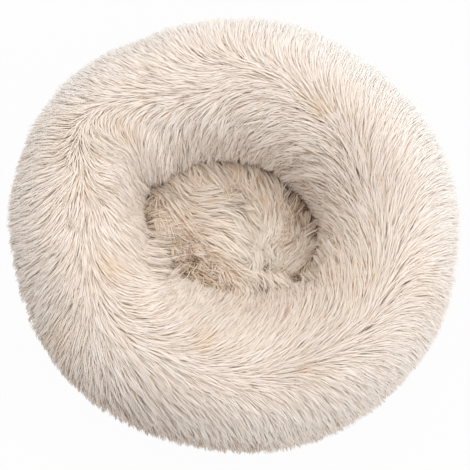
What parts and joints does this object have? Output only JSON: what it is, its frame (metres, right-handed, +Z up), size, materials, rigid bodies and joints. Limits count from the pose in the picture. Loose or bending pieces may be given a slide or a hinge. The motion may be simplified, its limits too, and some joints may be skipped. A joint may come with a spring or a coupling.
{
  "type": "plush ring cat bed",
  "caption": "Round plush cat bed: a fibre-filled ring with long swirling pile round a sunken seat cushion, sewn to a dotted anti-slip base cloth.",
  "frame": {"origin": "on the floor, under the middle of the ring's outside box, on the flat foot of the base cloth's middle dot", "axes": "+Z up, +X to the right and +Y to the back as the picture shows the bed from above its front edge"},
  "size_m": [0.493, 0.479, 0.16],
  "materials": {
    "ring_plush": "long cream faux fur, swept one way",
    "seat_plush": "long beige faux fur, tousled",
    "fibre_fill": "loose polyester fibre",
    "anti_slip_cloth": "woven cloth with bonded clear dots",
    "binding_tape": "woven tape",
    "sewing_thread": "spun polyester thread"
  },
  "bodies": {
    "root": {"base_cloth": "anti_slip_cloth", "ring_cover": "ring_plush", "ring_fill": "fibre_fill", "seat_cover": "seat_plush", "seat_fill": "fibre_fill", "outer_hem_tape": "binding_tape", "inner_hem_tape": "binding_tape", "base_seam_thread": "sewing_thread", "seat_seam_thread": "sewing_thread", "closing_seam_thread": "sewing_thread"}
  },
  "joints": []
}
